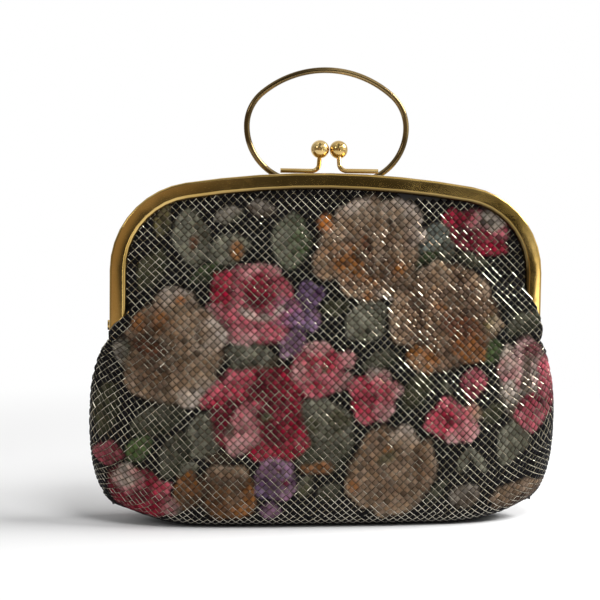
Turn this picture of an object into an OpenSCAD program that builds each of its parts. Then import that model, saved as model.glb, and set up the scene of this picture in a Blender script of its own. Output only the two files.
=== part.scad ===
// Evening bag of enamelled metal tile mesh on a hinged brass frame, with a
// two-ball snap clasp and a wire bail handle. Millimetres, +Z up, front towards -Y.
// The origin is on the floor, under the middle of the bag.

/* [Frame] */
// Width across the outside of the frame's legs
frame_w = 189; // [170:1:210]
// Height of the frame's top above the floor
frame_top = 152.6; // [140:0.2:170]
// Height of the hinge rivets above the floor
hinge_z = 86; // [78:0.5:92]
// Radius of the gently arched top of the frame
top_r = 390; // [320:5:600]
// Radius of the frame's rounded shoulders
shoulder_r = 38; // [30:0.5:44]
// Depth of each frame half from the parting plane to its face
half_depth = 7; // [6.6:0.1:9]
// Height of the flat face band with its rolled lip
band_h = 7.2; // [6.4:0.1:9]
// Radius of the lip rolled inwards along the band's inner edge
lip_r = 2; // [1.5:0.1:2.2]
// Radius of the frame's outer edge
edge_r = 1; // [0.8:0.1:1.4]
// Thickness of the brass sheet
sheet = 0.8; // [0.6:0.05:1]
// Height of the channel's inner wall
inner_wall_h = 5.6; // [4.8:0.1:7]
// Distance of the channel's inner wall from the parting plane
inner_wall_y = 1.4; // [1:0.1:1.6]
// How far the face bands reach below the hinge line
skirt_drop = 2; // [0:0.2:3]
// Gap between the two closed halves
parting_gap = 0.4; // [0.2:0.05:0.8]

/* [Hinge] */
// Radius of the round hinge tabs
tab_r = 3.6; // [3:0.1:4.5]
// Radius of the rivet's shank
rivet_r = 1.1; // [0.8:0.05:1.4]
// Radius of the rivet's heads
rivet_head_r = 2.2; // [1.8:0.1:2.8]
// Thickness of the rivet's heads
rivet_head_h = 0.8; // [0.5:0.1:1.2]
// Running clearance of the rivet in the front tab's hole
rivet_clearance = 0.05; // [0.02:0.01:0.1]
// Clearance between the two tabs, and under the rivet's heads
tab_gap = 0.1; // [0.05:0.01:0.2]

/* [Clasp] */
// Diameter of the clasp balls
ball_d = 8; // [6:0.1:9]
// Gap between the two balls side by side
ball_gap = 0.3; // [0.1:0.05:0.6]
// Height of the balls' centres above the frame's top
ball_rise = 10.4; // [9:0.1:13]
// How far each ball has passed the parting plane when shut
ball_cross = 0.5; // [0:0.1:1]
// Diameter of the clasp rods
rod_d = 2; // [1.6:0.1:2.4]
// Distance of each rod's outer end from the clasp's middle
rod_reach = 21; // [16:0.5:26]
// Radius of the bend where a rod turns up to its ball
rod_bend_r = 3; // [2.2:0.1:4]
// Distance of the rods' lines from the parting plane
rod_y = 3.6; // [3:0.1:4.5]
// Offset of the clasp and the handle from the frame's middle
clasp_x = 0; // [-5:0.5:5]

/* [Handle] */
// Diameter of the handle wire
wire_d = 2.6; // [2:0.1:3.2]
// Width of the oval loop between wire centres
handle_w = 71; // [60:0.5:84]
// Radius of the loop's lower bends
handle_low_r = 24; // [20:0.5:28]
// Radius of the loop's upper bends
handle_high_r = 19; // [16:0.5:22]
// Height of the loop's upper half, from its widest point to the wire centre on top
handle_rise = 25; // [23:0.5:32]
// Depth of the handle's pivot line below the frame's top
pivot_drop = 3.4; // [2.6:0.1:4.4]
// Running clearance of the wire in its saddles
wire_clearance = 0.06; // [0.02:0.01:0.1]
// Width of each saddle strap along the wire
saddle_w = 6; // [4:0.5:7]
// Thickness of the saddle straps
saddle_t = 0.8; // [0.6:0.1:1.2]
// Thickness of the saddles between the wire and the rear band
saddle_floor = 0.5; // [0.3:0.1:1]

/* [Mesh pouch] */
// Width of the pouch at its widest
pouch_w = 205.5; // [194:0.5:225]
// Height of the widest part of the pouch
widest_z = 46; // [36:1:54]
// Width of the pouch at its bottom corners
corner_w = 184.5; // [170:0.5:196]
// Height of the bottom corners
corner_z = 8; // [5:0.5:14]
// Thickness of the pouch from front to back at its fullest
pouch_depth = 42.5; // [34:0.5:56]
// Height of the fullest part of the pouch
fullest_z = 28; // [22:1:36]
// Thickness of the pouch at the hinge line
hinge_depth = 35.5; // [28:0.5:44]
// Thickness of the flat bottom that the bag stands on
foot_depth = 22; // [14:1:30]
// Share of the bottom's width that is flat
foot_share = 0.5; // [0.3:0.05:0.7]
// Thickness of the tile mesh
mesh_t = 1.2; // [0.8:0.1:1.4]
// Width of a tile from corner to corner, drawn at twice the real tile
tile = 7.9; // [7:0.1:14]
// Depth of the joints between the tiles below the mesh's surface
tile_sink = 0.45; // [0.2:0.05:0.6]
// Height of the tiles' middles above the mesh's surface
tile_rise = 0.75; // [0.2:0.05:0.9]
// Depth of the mesh's edge inside the frame's channel
edge_inset = 4.5; // [3.5:0.1:5]
// Distance of the seams' upper ends below the hinge line
seam_drop = 6; // [5.6:0.2:9]

/* [Lining and cord] */
// Thickness of the lining
lining_t = 0.6; // [0.3:0.1:0.8]
// Clearance between soft layers and what lies beside them
soft_gap = 0.3; // [0.2:0.05:0.5]
// Diameter of the retaining cord in each channel
cord_d = 1.2; // [0.8:0.1:1.3]

/* [Hidden] */
$fn = 64;
gold = "goldenrod";
enamel = "dimgray";
satin = "black";

// Frame outline: straight legs, round shoulders and an arched top, all tangent
leg_x = frame_w / 2;
shoulder_x = leg_x - shoulder_r;
top_half_angle = asin(shoulder_x / (top_r - shoulder_r));
shoulder_angle = 90 - top_half_angle;
top_centre_z = frame_top - top_r;
shoulder_z = top_centre_z + (top_r - shoulder_r) * cos(top_half_angle);
leg_end_z = hinge_z + tab_r + 0.6;

// Hinge planes along X, from the outside inwards
outer_tab_x = leg_x - sheet;
inner_tab_x = outer_tab_x - tab_gap;
tab_arm_top = leg_end_z + 6;

// Clasp: rods lie on the arched top, and lean over the parting plane to their balls
ball_x = (ball_d + ball_gap) / 2;
ball_z = frame_top + ball_rise;
rod_z = frame_top + rod_d / 2 + 0.1;
rod_lean = atan2(rod_y + ball_cross, ball_z - rod_z);
rod_to_ball = norm([rod_y + ball_cross, ball_z - rod_z]);
rod_in_ball = ball_d / 4;

// Handle: the lowest run of the loop is the pivot, just behind the rear band
pivot_z = frame_top - pivot_drop;
pivot_y = half_depth + saddle_floor + wire_clearance + wire_d / 2;
loop_half = handle_w / 2;
loop_mid_z = pivot_z + handle_low_r;
crown_r = (pow(loop_half - handle_high_r, 2) + pow(handle_rise, 2) - pow(handle_high_r, 2))
    / (2 * (handle_rise - handle_high_r));
crown_angle = asin((loop_half - handle_high_r) / (crown_r - handle_high_r));
// The crown's ends meet the upper bends inside small joining beads
bead_angle = 0.2;
run_half = loop_half - handle_low_r;
saddle_x = run_half - saddle_w / 2 - 0.5;

// Mesh surface: rows run from the bottom fold up to the frame, columns from left to right
channel_y = half_depth - sheet - cord_d - 2 * soft_gap + 0.2;
seam_z = hinge_z - seam_drop;
seam_x = leg_x - 1.5;
edge_x = leg_x - edge_inset;
edge_top = frame_top - edge_inset;
edge_shoulder = (shoulder_r - edge_inset) * PI / 180;
edge_corner_angle = 48;
coarse = 4;
columns = coarse * round(pouch_w * 2 / tile / coarse);
low_rows = coarse * round((foot_depth / 2 + pouch_depth / 2 + seam_z) * 1.7 / tile / coarse);
high_rows = coarse * round((edge_top - seam_z) * 2 / tile / coarse);
rows = low_rows + high_rows;
foot_rows = max(2, round(low_rows * 0.13));
flap_start = 0.08;

function lerp(a, b, t) = a + (b - a) * t;
function smooth(t) = let (c = max(0, min(1, t))) c * c * (3 - 2 * c);
function bezier(a, b, c, t) = a * (1 - t) * (1 - t) + b * 2 * t * (1 - t) + c * t * t;

// Bottom edge, half width and half depth of the pouch below the seams' upper ends, at share s of its height
function low_side(s, inset) =
    let (
        split = 0.5,
        p = s < split
            ? bezier([corner_w / 2, corner_z], [pouch_w / 2, lerp(corner_z, widest_z, 0.2)],
                [pouch_w / 2, widest_z], s / split)
            : bezier([pouch_w / 2, widest_z], [pouch_w / 2, lerp(widest_z, seam_z, 0.76)],
                [seam_x, seam_z], (s - split) / (1 - split))
    )
    [p.x - inset, p.y + inset * (1 - s)];

function low_profile(s, inset) =
    let (
        foot = foot_rows / low_rows,
        full = 0.42,
        d = pouch_depth / 2,
        p = s <= foot
            ? [foot_depth / 2 * s / foot, 0]
            : s < full
                ? bezier([foot_depth / 2, 0], [d, 0], [d, fullest_z], (s - foot) / (full - foot))
                : bezier([d, fullest_z], [d, lerp(fullest_z, seam_z, 0.5)], [hinge_depth / 2, seam_z],
                    (s - full) / (1 - full))
    )
    [max(0, p.x - inset * smooth(s / foot)), p.y + inset * (1 - smooth((s - foot) / full))];

// A point on the line of the mesh's edge in the channel: up the leg, round the shoulder, to the top's middle
leg_run = shoulder_z - leg_end_z;
shoulder_run = edge_shoulder * shoulder_angle;
top_run = (top_r - edge_inset) * PI / 180 * top_half_angle;
function edge_point(t) =
    t < leg_run
        ? [edge_x, leg_end_z + t]
        : t < leg_run + shoulder_run
            ? let (a = (t - leg_run) / edge_shoulder)
                [shoulder_x + (shoulder_r - edge_inset) * cos(a),
                    shoulder_z + (shoulder_r - edge_inset) * sin(a)]
            : let (a = top_half_angle * (1 - (t - leg_run - shoulder_run) / top_run))
                [(top_r - edge_inset) * sin(a), top_centre_z + (top_r - edge_inset) * cos(a)];

corner_run = leg_run + edge_shoulder * edge_corner_angle;
lead_in = coarse / high_rows;
// The wide patches of the inner faces lie a little flatter by the hinges, so that they stay behind the tiles
inner_sag = 0.25;
function high_side(s) =
    s < lead_in
        ? lerp([seam_x, seam_z], edge_point(0), s / lead_in)
        : edge_point(corner_run * (s - lead_in) / (1 - lead_in));
function high_top(u) = edge_point(lerp(leg_run + shoulder_run + top_run, corner_run, u));
function high_profile(s) =
    bezier([hinge_depth / 2, seam_z], [channel_y + 0.6, lerp(seam_z, edge_top, 0.72)],
        [channel_y, edge_top], s);

// A point of the front of the bag, at share u of the half width and at row j, set in by inset
function full_side(u) = sqrt(1 - pow(u, 2.6));
function flat_side(u) = pow(1 - u * u, 1.5);
function low_point(u, s, inset) =
    let (
        side = low_side(s, inset),
        mid = low_profile(s, inset),
        turn = pow(max(0, (u - foot_share) / (1 - foot_share)), 2.4),
        round_share = lerp(full_side(u), flat_side(u), 0.5 * smooth((s - 0.6) / 0.4))
    )
    [u * side.x, -mid.x * round_share, lerp(mid.y, side.y, turn)];
function high_point(u, s, inset) =
    let (
        side = high_side(s),
        top = high_top(u),
        mid = high_profile(s),
        shut = channel_y * min(1, s / lead_in),
        low = [u * seam_x, seam_z],
        span = lerp(low, top, s) + (side - lerp([seam_x, seam_z], high_side(1), s)) * u,
        set_in = inset * (1 - smooth(s / lead_in)),
        sag = inner_sag * smooth((inset - tile_sink) / (mesh_t - tile_sink)),
        round_share = lerp(full_side(u), flat_side(u), min(1, lerp(0.5, 1, smooth(s / lead_in)) + sag))
    )
    [span.x - u * set_in,
        -max(shut - inset, 0) - (mid.x - inset - max(shut - inset, 0)) * round_share, span.y];
function front_point(u, j, inset) =
    j < low_rows
        ? low_point(abs(u), j / low_rows, inset)
        : high_point(abs(u), (j - low_rows) / high_rows, inset);
function bag_point(i, j, inset, side) =
    let (u = 2 * i / columns - 1, p = front_point(u, j, inset))
    [sign(u) * p.x, side * p.y, p.z];

// Tiles stand out in the middle and are sunk at their corners; the foot and the edges in the frame stay flat
function sunk(i, j) =
    ((floor(i) + floor(j)) % 2 == 0 ? tile_sink : -tile_rise)
        * smooth((j - foot_rows) / 2) * smooth((rows - j - 1) / 3)
        * (j < low_rows - 2 ? 1 : smooth((min(i, columns - i) - 1) / 3));
function tile_point(i, j, side, start) =
    bag_point(i, j == start ? j + flap_start * sign(start) : j, sunk(i, j), side);

// Triangles of a quad, wound one way or the other, cut along either diagonal
function turned(t, flip) = flip ? [t[0], t[2], t[1]] : t;
function quad(a, b, c, d, flip, cross = false) =
    cross
        ? [turned([b, c, d], flip), turned([b, d, a], flip)]
        : [turned([a, b, c], flip), turned([a, c, d], flip)];

// The tiled outside of one side of the bag, from row j0 to row j1
function tiled_face(side, j0, j1, start) = [
    for (j = [j0 : j1 - 1], i = [0 : columns - 1])
        each quad(
            tile_point(i, j, side, start), tile_point(i, j + 1, side, start),
            tile_point(i + 1, j + 1, side, start), tile_point(i + 1, j, side, start),
            side < 0, (i + j) % 2 != 0
        )
];

// A smooth face of wide patches at one inset, facing outwards or inwards
function start_row(j, start) = j == start ? j + flap_start * sign(start) : j;
function smooth_face(side, j0, j1, inset, inwards, start) = [
    for (j = [j0 : coarse : j1 - coarse], i = [0 : coarse : columns - coarse])
        let (a = start_row(j, start), b = j + coarse)
        each quad(
            bag_point(i, a, inset, side), bag_point(i, b, inset, side),
            bag_point(i + coarse, b, inset, side), bag_point(i + coarse, a, inset, side),
            (side < 0) != inwards, i >= columns / 2
        )
];

// A rim between a wide line of points and a fine line along the same edge
function rim(wide, fine, flip) =
    let (steps = (len(fine) - 1) / (len(wide) - 1))
    [
        for (m = [0 : len(wide) - 2])
            each concat(
                [for (q = [0 : steps - 1])
                    turned([wide[m], fine[m * steps + q], fine[m * steps + q + 1]], flip)],
                [turned([wide[m], fine[(m + 1) * steps], wide[m + 1]], flip)]
            )
    ];
function row_line(j, side, inset) = [for (i = [0 : coarse : columns]) bag_point(i, j, inset, side)];
function column_line(i, j0, j1, side, inset, start) =
    [for (j = [j0 : coarse : j1]) bag_point(i, start_row(j, start), inset, side)];
function tile_row(j, side, start) = [for (i = [0 : columns]) tile_point(i, j, side, start)];
function tile_column(i, j0, j1, side, start) = [for (j = [j0 : j1]) tile_point(i, j, side, start)];

// The rims of one side's edge in the frame: its two legs and its top
function frame_rim(side, j0, inner, start) = concat(
    rim(column_line(0, j0, rows, side, inner, start), tile_column(0, j0, rows, side, start), side > 0),
    rim(row_line(rows, side, inner), tile_row(rows, side, start), side > 0),
    rim(column_line(columns, j0, rows, side, inner, start), tile_column(columns, j0, rows, side, start),
        side < 0)
);
function lining_rim(side, j0, outer, inner, start) = concat(
    rim(column_line(0, j0, rows, side, inner, start), column_line(0, j0, rows, side, outer, start), side > 0),
    rim(row_line(rows, side, inner), row_line(rows, side, outer), side > 0),
    rim(column_line(columns, j0, rows, side, inner, start),
        column_line(columns, j0, rows, side, outer, start), side < 0)
);

module closed_skin(triangles) {
    polyhedron(
        points = [for (t = triangles) each t],
        faces = [for (k = [0 : len(triangles) - 1]) [3 * k, 3 * k + 1, 3 * k + 2]]
    );
}

// Soft parts

module front_mesh() {
    color(enamel) closed_skin(concat(
        tiled_face(1, low_rows, rows, low_rows),
        smooth_face(1, low_rows, rows, mesh_t, true, low_rows),
        frame_rim(1, low_rows, mesh_t, low_rows),
        rim(row_line(low_rows + flap_start, 1, mesh_t), tile_row(low_rows, 1, low_rows), false)
    ));
}

module mesh_pouch() {
    color(enamel) closed_skin(concat(
        tiled_face(-1, 0, rows, -1),
        tiled_face(1, 0, low_rows, -1),
        smooth_face(-1, 0, rows, mesh_t, true, -1),
        smooth_face(1, 0, low_rows, mesh_t, true, -1),
        frame_rim(-1, low_rows, mesh_t, -1),
        rim(row_line(low_rows, 1, mesh_t), tile_row(low_rows, 1, -1), true)
    ));
}

lining_outer = mesh_t + soft_gap;
lining_inner = lining_outer + lining_t;

module front_lining() {
    color(satin) closed_skin(concat(
        smooth_face(1, low_rows, rows, lining_outer, false, low_rows),
        smooth_face(1, low_rows, rows, lining_inner, true, low_rows),
        lining_rim(1, low_rows, lining_outer, lining_inner, low_rows),
        rim(row_line(low_rows + flap_start, 1, lining_inner),
            row_line(low_rows + flap_start, 1, lining_outer), false)
    ));
}

module pouch_lining() {
    color(satin) closed_skin(concat(
        smooth_face(-1, 0, rows, lining_outer, false, -1),
        smooth_face(1, 0, low_rows, lining_outer, false, -1),
        smooth_face(-1, 0, rows, lining_inner, true, -1),
        smooth_face(1, 0, low_rows, lining_inner, true, -1),
        lining_rim(-1, low_rows, lining_outer, lining_inner, -1),
        rim(row_line(low_rows, 1, lining_inner), row_line(low_rows, 1, lining_outer), true)
    ));
}

// Frame

// Section of one half as [distance in from the outer edge, depth to the front]
lip_in = band_h - lip_r;
lip_y = half_depth - lip_r;
channel_section = [
    [0, parting_gap / 2],
    for (t = [0 : 30 : 90]) [edge_r * (1 - cos(t)), half_depth - edge_r * (1 - sin(t))],
    for (t = [0 : 30 : 90]) [lip_in + lip_r * sin(t), lip_y + lip_r * cos(t)],
    for (t = [90 : -45 : 0]) [lip_in + (lip_r - sheet) * sin(t), lip_y + (lip_r - sheet) * cos(t)],
    [sheet, half_depth - sheet],
    [sheet, inner_wall_y + sheet],
    [inner_wall_h, inner_wall_y + sheet],
    [inner_wall_h, inner_wall_y],
    [sheet, inner_wall_y],
    [sheet, parting_gap / 2]
];
// The section's end, cut into triangles: outer wall, corner, band, lip and inner wall
channel_end = [
    [0, 16, 17], [0, 13, 16], [0, 1, 13], [1, 12, 13],
    [1, 2, 12], [2, 3, 12], [3, 4, 12], [4, 5, 12], [5, 11, 12],
    [5, 6, 11], [6, 10, 11], [6, 7, 10], [7, 9, 10], [7, 8, 9],
    [13, 14, 15], [13, 15, 16]
];
cord_section = [
    for (t = [0 : 45 : 315])
        [edge_inset - cord_d + cord_d / 2 * sin(t),
            half_depth - sheet - soft_gap / 2 - cord_d / 2 * (1 - cos(t))]
];
cord_end = [for (k = [1 : 6]) [0, k, k + 1]];

// Stations along the frame's outline as [centre x, centre z, radius, angle], from the right leg to the left
shoulder_steps = 9;
top_steps = 8;
stations = [
    [shoulder_x, leg_end_z, shoulder_r, 0],
    for (k = [0 : shoulder_steps]) [shoulder_x, shoulder_z, shoulder_r, shoulder_angle * k / shoulder_steps],
    for (k = [1 : top_steps]) [0, top_centre_z, top_r, shoulder_angle + 2 * top_half_angle * k / top_steps],
    for (k = [shoulder_steps - 1 : -1 : 0])
        [-shoulder_x, shoulder_z, shoulder_r, 180 - shoulder_angle * k / shoulder_steps],
    [-shoulder_x, leg_end_z, shoulder_r, 180]
];

// Carries a section along the frame's outline as one closed skin
module along_frame(section, end) {
    n = len(section);
    last = (len(stations) - 1) * n;
    polyhedron(
        points = [
            for (s = stations, p = section)
                [s[0] + (s[2] - p[0]) * cos(s[3]), -p[1], s[1] + (s[2] - p[0]) * sin(s[3])]
        ],
        faces = concat(
            [for (t = end) [t[0], t[2], t[1]]],
            [for (t = end) [last + t[0], last + t[1], last + t[2]]],
            [
                for (k = [0 : len(stations) - 2], m = [0 : n - 1])
                    [k * n + m, k * n + (m + 1) % n, (k + 1) * n + (m + 1) % n, (k + 1) * n + m]
            ]
        )
    );
}

// The face band and its lip alone, carried on down past the hinge
module band_skirts() {
    skirt_z = hinge_z - skirt_drop;
    for (side = [0, 1])
        mirror([side, 0, 0])
            translate([leg_x, 0, skirt_z])
                mirror([0, 1, 0])
                    linear_extrude(leg_end_z - skirt_z)
                        polygon([for (k = [1 : 12]) [-channel_section[k][0], channel_section[k][1]]]);
}

module x_cylinder(x, length, r) {
    translate([x, 0, hinge_z])
        rotate([0, 90, 0])
            cylinder(r = r, h = length);
}

module front_frame() {
    color(gold) {
        along_frame(channel_section, channel_end);
        band_skirts();
        for (side = [0, 1])
            mirror([side, 0, 0]) {
                difference() {
                    union() {
                        x_cylinder(inner_tab_x - sheet, sheet, tab_r);
                        translate([inner_tab_x - sheet, -tab_r, hinge_z])
                            cube([sheet, tab_r - parting_gap / 2, tab_arm_top - hinge_z]);
                    }
                    x_cylinder(inner_tab_x - 2 * sheet, 3 * sheet, rivet_r + rivet_clearance);
                }
                translate([inner_tab_x - sheet, -tab_r, leg_end_z])
                    cube([sheet + tab_gap, tab_r - parting_gap / 2, tab_arm_top - leg_end_z]);
            }
    }
}

module rear_frame() {
    color(gold) {
        mirror([0, 1, 0]) {
            along_frame(channel_section, channel_end);
            band_skirts();
        }
        for (side = [0, 1])
            mirror([side, 0, 0])
                difference() {
                    union() {
                        x_cylinder(outer_tab_x, sheet, tab_r);
                        translate([outer_tab_x, parting_gap / 2, hinge_z])
                            cube([sheet, tab_r - parting_gap / 2, leg_end_z - hinge_z]);
                    }
                    x_cylinder(outer_tab_x - sheet, 3 * sheet, rivet_r + rivet_clearance / 2);
                }
    }
}

module hinge_rivet() {
    color(gold) {
        x_cylinder(inner_tab_x - sheet - tab_gap, 2 * sheet + 3 * tab_gap, rivet_r);
        x_cylinder(inner_tab_x - sheet - tab_gap - rivet_head_h, rivet_head_h, rivet_head_r);
        x_cylinder(leg_x + tab_gap, rivet_head_h, rivet_head_r);
    }
}

module right_hinge_rivet() {
    hinge_rivet();
}

module left_hinge_rivet() {
    mirror([1, 0, 0]) hinge_rivet();
}

module retaining_cord() {
    color("tan")
        along_frame(cord_section, cord_end);
}

module front_retaining_cord() {
    retaining_cord();
}

module rear_retaining_cord() {
    mirror([0, 1, 0]) retaining_cord();
}

// Clasp, drawn for the front half: its rod runs to the right and its neck leans back to the ball

module clasp_rod() {
    color(gold)
        translate([clasp_x, -rod_y, rod_z]) {
            translate([ball_x + rod_bend_r, 0, 0])
                rotate([0, 90, 0])
                    cylinder(d = rod_d, h = rod_reach - ball_x - rod_bend_r);
            rotate([-rod_lean, 0, 0]) {
                translate([ball_x + rod_bend_r, 0, rod_bend_r])
                    rotate([90, 0, 0])
                        rotate([0, 0, 180])
                            rotate_extrude(angle = 90)
                                translate([rod_bend_r, 0])
                                    circle(d = rod_d);
                translate([ball_x, 0, rod_bend_r])
                    cylinder(d = rod_d, h = rod_to_ball - rod_bend_r - rod_in_ball);
            }
        }
}

module clasp_ball() {
    color(gold)
        translate([clasp_x, -rod_y, rod_z])
            rotate([-rod_lean, 0, 0])
                translate([ball_x, 0, rod_to_ball])
                    difference() {
                        sphere(d = ball_d);
                        translate([0, 0, -ball_d])
                            cylinder(d = rod_d + 0.06, h = ball_d - rod_in_ball + 0.03);
                    }
}

// The rear half's clasp is the front one turned half a turn about the clasp's middle
module turned_about_clasp() {
    translate([clasp_x, 0, 0])
        rotate([0, 0, 180])
            translate([-clasp_x, 0, 0])
                children();
}

module front_clasp_rod() {
    clasp_rod();
}

module front_clasp_ball() {
    clasp_ball();
}

module rear_clasp_rod() {
    turned_about_clasp() clasp_rod();
}

module rear_clasp_ball() {
    turned_about_clasp() clasp_ball();
}

// Handle

module wire_arc(r, from, sweep) {
    rotate([90, 0, 0])
        rotate([0, 0, from])
            rotate_extrude(angle = sweep)
                translate([r, 0])
                    circle(d = wire_d);
}

module handle_bail() {
    color(gold)
        translate([clasp_x, pivot_y, loop_mid_z]) {
            translate([-run_half, 0, -handle_low_r])
                rotate([0, 90, 0])
                    cylinder(d = wire_d, h = 2 * run_half);
            for (side = [0, 1])
                mirror([side, 0, 0]) {
                    translate([run_half, 0, 0])
                        wire_arc(handle_low_r, -90, 90);
                    translate([loop_half - handle_high_r, 0, 0])
                        wire_arc(handle_high_r, 0, 90 - crown_angle);
                }
            translate([0, 0, handle_rise - crown_r]) {
                wire_arc(crown_r, 90 - crown_angle + bead_angle, 2 * (crown_angle - bead_angle));
                for (side = [-1, 1])
                    translate([side * crown_r * sin(crown_angle), 0, crown_r * cos(crown_angle)])
                        sphere(d = wire_d + 0.1);
            }
        }
}

// A strap folded round the wire, with its foot flat on the rear band
module handle_saddle() {
    bore_r = wire_d / 2 + wire_clearance;
    foot_y = half_depth;
    outer_r = bore_r + saddle_t;
    color(gold)
        translate([clasp_x - saddle_w / 2, 0, pivot_z])
            difference() {
                union() {
                    translate([0, pivot_y, 0])
                        rotate([0, 90, 0])
                            cylinder(r = outer_r, h = saddle_w);
                    translate([0, foot_y, -outer_r])
                        cube([saddle_w, pivot_y - foot_y, 2 * outer_r]);
                }
                translate([-saddle_w, foot_y - 2 * outer_r, -2 * outer_r])
                    cube([3 * saddle_w, 2 * outer_r, 4 * outer_r]);
                translate([-saddle_w, pivot_y, 0])
                    rotate([0, 90, 0])
                        cylinder(r = bore_r, h = 3 * saddle_w);
            }
}

module left_handle_saddle() {
    translate([-saddle_x, 0, 0]) handle_saddle();
}

module right_handle_saddle() {
    translate([saddle_x, 0, 0]) handle_saddle();
}

front_frame();
rear_frame();
left_hinge_rivet();
right_hinge_rivet();
front_clasp_rod();
front_clasp_ball();
rear_clasp_rod();
rear_clasp_ball();
handle_bail();
left_handle_saddle();
right_handle_saddle();
front_mesh();
mesh_pouch();
front_lining();
pouch_lining();
front_retaining_cord();
rear_retaining_cord();
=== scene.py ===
import math

import bpy
import numpy as np
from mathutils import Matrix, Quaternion, Vector


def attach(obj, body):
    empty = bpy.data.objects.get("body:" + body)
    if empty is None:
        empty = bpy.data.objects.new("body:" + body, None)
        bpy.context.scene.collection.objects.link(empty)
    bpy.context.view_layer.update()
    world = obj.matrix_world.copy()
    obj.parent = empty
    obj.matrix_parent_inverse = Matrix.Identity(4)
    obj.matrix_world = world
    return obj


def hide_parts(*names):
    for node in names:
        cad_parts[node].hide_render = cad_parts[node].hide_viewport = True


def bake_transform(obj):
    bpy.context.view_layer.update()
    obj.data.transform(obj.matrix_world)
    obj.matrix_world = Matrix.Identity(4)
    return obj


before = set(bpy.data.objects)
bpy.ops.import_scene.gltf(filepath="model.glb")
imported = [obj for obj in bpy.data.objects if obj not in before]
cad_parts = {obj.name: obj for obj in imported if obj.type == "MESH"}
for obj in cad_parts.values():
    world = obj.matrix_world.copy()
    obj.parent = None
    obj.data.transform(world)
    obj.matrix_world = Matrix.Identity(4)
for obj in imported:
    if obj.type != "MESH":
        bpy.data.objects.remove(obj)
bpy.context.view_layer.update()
bpy.context.scene.view_settings.view_transform = "Standard"


# Frame halves: two arched channels of rolled brass sheet, a flat face band outside and a rolled lip inside.
# Gilded, lacquered and a little worn. The lip has painted shade at top and right for a dim reflection, less
# at the left end.
# A rivet through the leg ends at each side hinges the halves on each other.

MM = 0.001
LEG_X, SHOULDER_X, SHOULDER_Z, SHOULDER_R, TOP_R, TOP_Z = 94.5, 56.5, 110.05, 38.0, 390.0, 152.6
LIP_IN, LIP_FADE = 5.2, 0.8
LIP_SHADE_X, LIP_SHADE_FADE = -70.0, 50.0
CREASE, FLATNESS = 35, 90
CLOUD_SCALE, SCUFF_SCALE = 45.0, 260.0


class Shade:
    """A shader socket that takes part in sums like a number; node() puts any other node into its tree."""

    def __init__(self, tree, socket=None):
        self.tree, self.socket = tree, socket

    def node(self, kind, inputs=(), out=0, **settings):
        made = self.tree.nodes.new(kind)
        for name, value in settings.items():
            setattr(made, name, value)
        for name, value in dict(inputs).items():
            if isinstance(value, Shade):
                self.tree.links.new(value.socket, made.inputs[name])
            else:
                made.inputs[name].default_value = value
        return Shade(self.tree, made.outputs[out])

    def math(self, kind, a, b):
        return self.node("ShaderNodeMath", {0: a, 1: b}, operation=kind)

    def __add__(self, other):
        return self.math("ADD", self, other)

    def __radd__(self, other):
        return self.math("ADD", other, self)

    def __rsub__(self, other):
        return self.math("SUBTRACT", other, self)

    def __mul__(self, other):
        return self.math("MULTIPLY", self, other)

    def __rmul__(self, other):
        return self.math("MULTIPLY", other, self)

    def between(self, low, high):
        """0 below low, 1 above high, smooth between."""
        span = {"Value": self, "From Min": low, "From Max": high}
        return self.node("ShaderNodeMapRange", span, interpolation_type="SMOOTHSTEP")

    def mix(self, a, b):
        """Colour a where this is 0, b where it is 1."""
        return self.node("ShaderNodeMix", {"Factor": self, "A": a, "B": b}, 2, data_type="RGBA")

    def noise(self, scale, detail=2.0):
        at = self.node("ShaderNodeTexCoord", out="Object")
        return self.node("ShaderNodeTexNoise", {"Vector": at, "Scale": scale, "Detail": detail})

    def scuffs(self):
        """Small marks, 1 in their middle and 0 on the clean metal."""
        return self.noise(SCUFF_SCALE, detail=4.0).between(0.52, 0.85)

    def mark(self, name):
        """The number that a mesh holds under this name at each point."""
        return self.node("ShaderNodeAttribute", out="Fac", attribute_name=name)

    def ray(self, kind):
        """1 for rays of this kind."""
        return self.node("ShaderNodeLightPath", out=f"Is {kind} Ray")


def srgb(r, g, b):
    """Linear colour of an sRGB colour given in 0 to 255."""
    c = np.array([r, g, b]) / 255
    return (*np.where(c <= 0.04045, c / 12.92, ((c + 0.055) / 1.055) ** 2.4).tolist(), 1.0)


def principled(name, varying, **constants):
    """A material of one Principled shader, with constants on its sockets and varying(shade) linked in."""
    material = bpy.data.materials.new(name)
    material.use_nodes = True
    shader = material.node_tree.nodes["Principled BSDF"]
    for socket, value in constants.items():
        shader.inputs[socket.replace("_", " ")].default_value = value
    for socket, value in varying(Shade(material.node_tree)).items():
        material.node_tree.links.new(value.socket, shader.inputs[socket])
    return material


def gilt(light, dark, smooth, worn):
    """Polished metal between two colours in soft clouds, with small dull marks where the lacquer has worn."""

    def varying(shade):
        cloud = shade.noise(CLOUD_SCALE).between(0.35, 0.7)
        rough = smooth + shade.scuffs() * worn + cloud * 0.04
        return {"Base Color": cloud.mix(dark, light), "Roughness": rough}

    return varying


def shaded_lip_gilt(shade):
    """The frame's gilt, with painted shade where the mesh marks the lip, standing in for a dim reflection
    there.
    """
    sockets = gilt(light=srgb(196, 166, 104), dark=srgb(176, 146, 84), smooth=0.1, worn=0.08)(shade)
    # Painted shade: the lip's darker colour stands in for a dim reflection there.
    sockets["Base Color"] = shade.mark("lip_painted_shade").mix(sockets["Base Color"], srgb(88, 73, 45))
    return sockets


def ease(t):
    """0 below 0, 1 above 1, smooth between."""
    t = np.clip(t, 0, 1)
    return t * t * (3 - 2 * t)


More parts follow.
